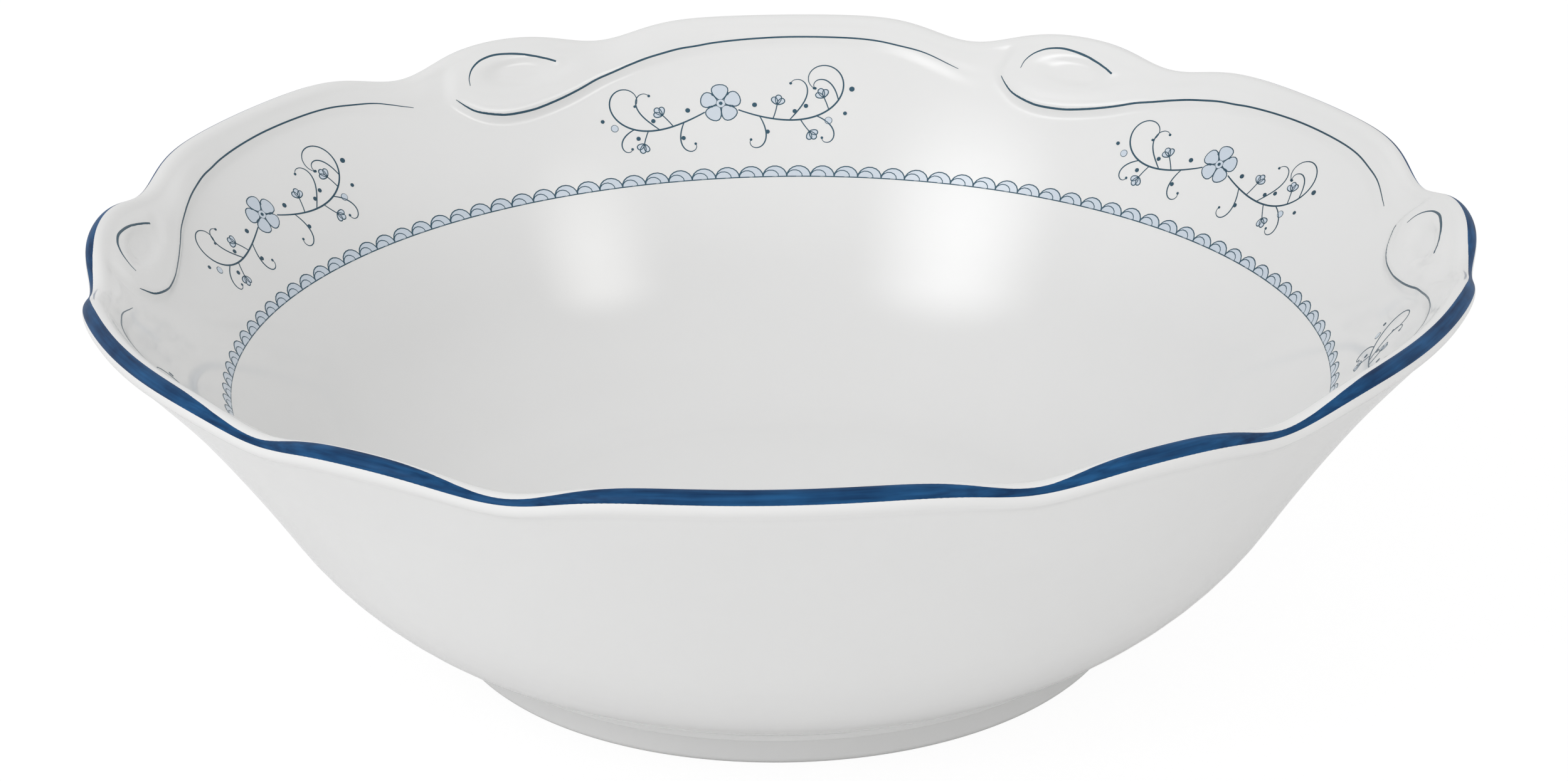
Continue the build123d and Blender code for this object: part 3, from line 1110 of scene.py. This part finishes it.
# brushed colour: long streaks that follow the rim, broken up by patches
def brushGroup():
    group, entry, leave = addGroup(
        "brushedColour", [("Dark", "NodeSocketColor"), ("Light", "NodeSocketColor")],
        [("Colour", "NodeSocketColor")])
    nodes, links = group.nodes, group.links
    place = nodes.new("ShaderNodeTexCoord")
    squeeze = brushLook["squeeze"]
    stretch = addVectorMaths(nodes, "MULTIPLY", (1, 1, squeeze))
    level = addVectorMaths(nodes, "MULTIPLY", (squeeze, squeeze, 0))
    fromAxis = addVectorMaths(nodes, "LENGTH")
    streak = addNoise(nodes, brushLook["streakScale"], 3, "4D")
    patch = addNoise(nodes, brushLook["patchScale"], 3)
    joinAll(links, (place, "Object", stretch, 0), (place, "Object", level, 0),
            (level, "Vector", fromAxis, 0), (stretch, "Vector", streak, "Vector"),
            (fromAxis, "Value", streak, "W"), (place, "Object", patch, "Vector"))
    blend = nodes.new("ShaderNodeMix")
    blend.inputs["Factor"].default_value = brushLook["patchShare"]
    joinAll(links, (streak, "Fac", blend, 2), (patch, "Fac", blend, 3))
    addTone(group, entry, leave, blend.outputs[0], *brushLook["range"])
    return group


def newMaterial(name):
    material = bpy.data.materials.new(name)
    material.use_nodes = True
    nodes = material.node_tree.nodes
    return material, nodes, material.node_tree.links, nodes["Principled BSDF"]


def glazedMaterial(name, dark, light, gloss=0.05, specular=0.5, ripple=0.25, peel=0.25, brushed=False):
    material, nodes, links, shader = newMaterial(name)
    setInputs(shader, {"IOR": 1.5, "Specular IOR Level": specular})
    surface = nodes.new("ShaderNodeGroup")
    surface.node_tree = glaze
    setInputs(surface, {"Gloss": gloss, "Ripple": ripple, "Peel": peel})
    colour = surface
    if brushed:
        colour = nodes.new("ShaderNodeGroup")
        colour.node_tree = brush
    setInputs(colour, {"Dark": (*dark, 1), "Light": (*light, 1)})
    joinAll(links, (colour, "Colour", shader, "Base Color"), (surface, "Roughness", shader, "Roughness"),
            (surface, "Normal", shader, "Normal"))
    return material


glaze = glazeGroup()
brush = brushGroup()
porcelain = glazedMaterial("glazedPorcelain", (0.795, 0.795, 0.79), (0.825, 0.825, 0.82))
cobalt = glazedMaterial("cobaltBand", (0.003, 0.028, 0.088), (0.014, 0.088, 0.225), 0.42, specular=0.12,
                        brushed=True)
ink = glazedMaterial("slateBlueInk", (0.024, 0.066, 0.100), (0.042, 0.102, 0.148), 0.2, specular=0.25)
softInk = glazedMaterial("borderInk", (0.030, 0.076, 0.112), (0.052, 0.116, 0.162), 0.2, specular=0.25)
paleWash = glazedMaterial("paleBlueWash", (0.565, 0.64, 0.725), (0.645, 0.71, 0.785), 0.1)
biscuit = glazedMaterial("unglazedBiscuit", (0.60, 0.58, 0.54), (0.70, 0.68, 0.64), 0.8, 0.3, 0.1, 1.0)
print("materials ready")

stage = {
    "floorSize": 12.0,
    "floorBelow": 0.00005,
    "floorColour": 0.9,
    "floorRoughness": 0.9,
    "floorShown": 1.05,         # a little over white, to make up for the lit share
    "floorLit": 0.12,           # share of the floor's own light that the camera sees
    "skyStrength": 0.68,
    "skyMirrored": 0.35,        # how far the glaze sees the sky turned white
    "floorMirrored": 0.10,      # and how far the floor, whose shade shows under the bowl
    # azimuth from the viewer's side, elevation, distance, width, height, watts, colour
    "lamps": [(53, 41, 1.7, 0.95, 0.95, 7.8, (1.0, 0.985, 0.96)),
              (-50, 42, 1.7, 1.40, 1.40, 24.0, (0.985, 0.99, 1.0)),
              (-16, 12, 2.2, 2.4, 0.5, 14.0, (1.0, 1.0, 1.0))],
    "fillBelow": 20,            # a lamp lower than this only fills, and isn't mirrored in the glaze
    "lampEdge": 0.5,            # share of a lamp's size at which its light has faded out
}


# 1 for the rays that see the white background, less for those mirrored in the glaze
def seenRay(nodes, links, share):
    path = nodes.new("ShaderNodeLightPath")
    mirrored = addMaths(nodes, "MULTIPLY", share)
    first = addMaths(nodes, "MAXIMUM")
    second = addMaths(nodes, "MAXIMUM")
    joinAll(links, (path, "Is Camera Ray", first, 0), (path, "Is Glossy Ray", mirrored, 0),
            (mirrored, "Value", first, 1), (first, "Value", second, 0),
            (path, "Is Transmission Ray", second, 1))
    return second.outputs["Value"]


def makeFloor():
    clearSelection()
    bpy.ops.mesh.primitive_plane_add(size=stage["floorSize"], location=(0, 0, -stage["floorBelow"]))
    floor = bpy.context.object
    floor.name = "floor"
    material, nodes, links, shader = newMaterial("whiteFloor")
    grey = stage["floorColour"]
    setInputs(shader, {"Base Color": (grey, grey, grey, 1), "Roughness": stage["floorRoughness"],
                       "Specular IOR Level": 0.0})
    shown = nodes.new("ShaderNodeEmission")
    shown.inputs["Strength"].default_value = stage["floorShown"]
    share = addMaths(nodes, "MULTIPLY", 1 - stage["floorLit"])
    mix = nodes.new("ShaderNodeMixShader")
    links.new(seenRay(nodes, links, stage["floorMirrored"]), share.inputs[0])
    joinAll(links, (share, "Value", mix, "Fac"), (shader, "BSDF", mix, 1), (shown, "Emission", mix, 2))
    links.new(mix.outputs["Shader"], nodes["Material Output"].inputs["Surface"])
    floor.data.materials.append(material)


def makeSky():
    world = bpy.data.worlds.new("studio")
    bpy.context.scene.world = world
    world.use_nodes = True
    nodes, links = world.node_tree.nodes, world.node_tree.links
    sky = nodes["Background"]
    sky.inputs["Color"].default_value = (1, 1, 1, 1)
    strength = nodes.new("ShaderNodeMix")
    # inputs 2 and 3 are its two plain values
    setInputs(strength, {2: stage["skyStrength"], 3: 1.0})
    links.new(seenRay(nodes, links, stage["skyMirrored"]), strength.inputs[0])
    links.new(strength.outputs[0], sky.inputs["Strength"])


# an area lamp that is brightest in its middle and fades to nothing at its edge
def addLamp(azimuth, elevation, distance, width, height, watts, colour):
    side, rise = radians(azimuth), radians(elevation)
    where = Vector((sin(side) * cos(rise), -cos(side) * cos(rise), sin(rise))) * distance
    bpy.ops.object.light_add(type="AREA", location=where)
    lamp = bpy.context.object
    lamp.rotation_euler = (-where).to_track_quat("-Z", "Y").to_euler()
    lamp.data.shape = "ELLIPSE"
    lamp.data.size = width
    lamp.data.size_y = height
    lamp.data.energy = watts
    lamp.data.color = colour
    lamp.visible_glossy = elevation > stage["fillBelow"]
    lamp.data.use_nodes = True
    nodes, links = lamp.data.node_tree.nodes, lamp.data.node_tree.links
    place = nodes.new("ShaderNodeNewGeometry")
    # a lamp's parametric place runs from 0 to 1, so its middle is at a half
    shift = addVectorMaths(nodes, "SUBTRACT", (0.5, 0.5, 0))
    reach = addVectorMaths(nodes, "LENGTH")
    fall = nodes.new("ShaderNodeMapRange")
    fall.interpolation_type = "SMOOTHSTEP"
    setInputs(fall, {"From Min": 0.0, "From Max": stage["lampEdge"], "To Min": 1.0, "To Max": 0.0})
    joinAll(links, (place, "Parametric", shift, 0), (shift, "Vector", reach, 0),
            (reach, "Value", fall, "Value"))
    links.new(fall.outputs["Result"], nodes["Emission"].inputs["Strength"])


makeCamera()
makeBody()
makeFoot()
makeRimLine()
makePinstripes()
makeScaleBorder()
makeSprigs()
makeFloor()
makeSky()
for lampSetting in stage["lamps"]:
    addLamp(*lampSetting)
bpy.context.scene.view_settings.view_transform = "Standard"
print("stage ready")
print("scene ready")
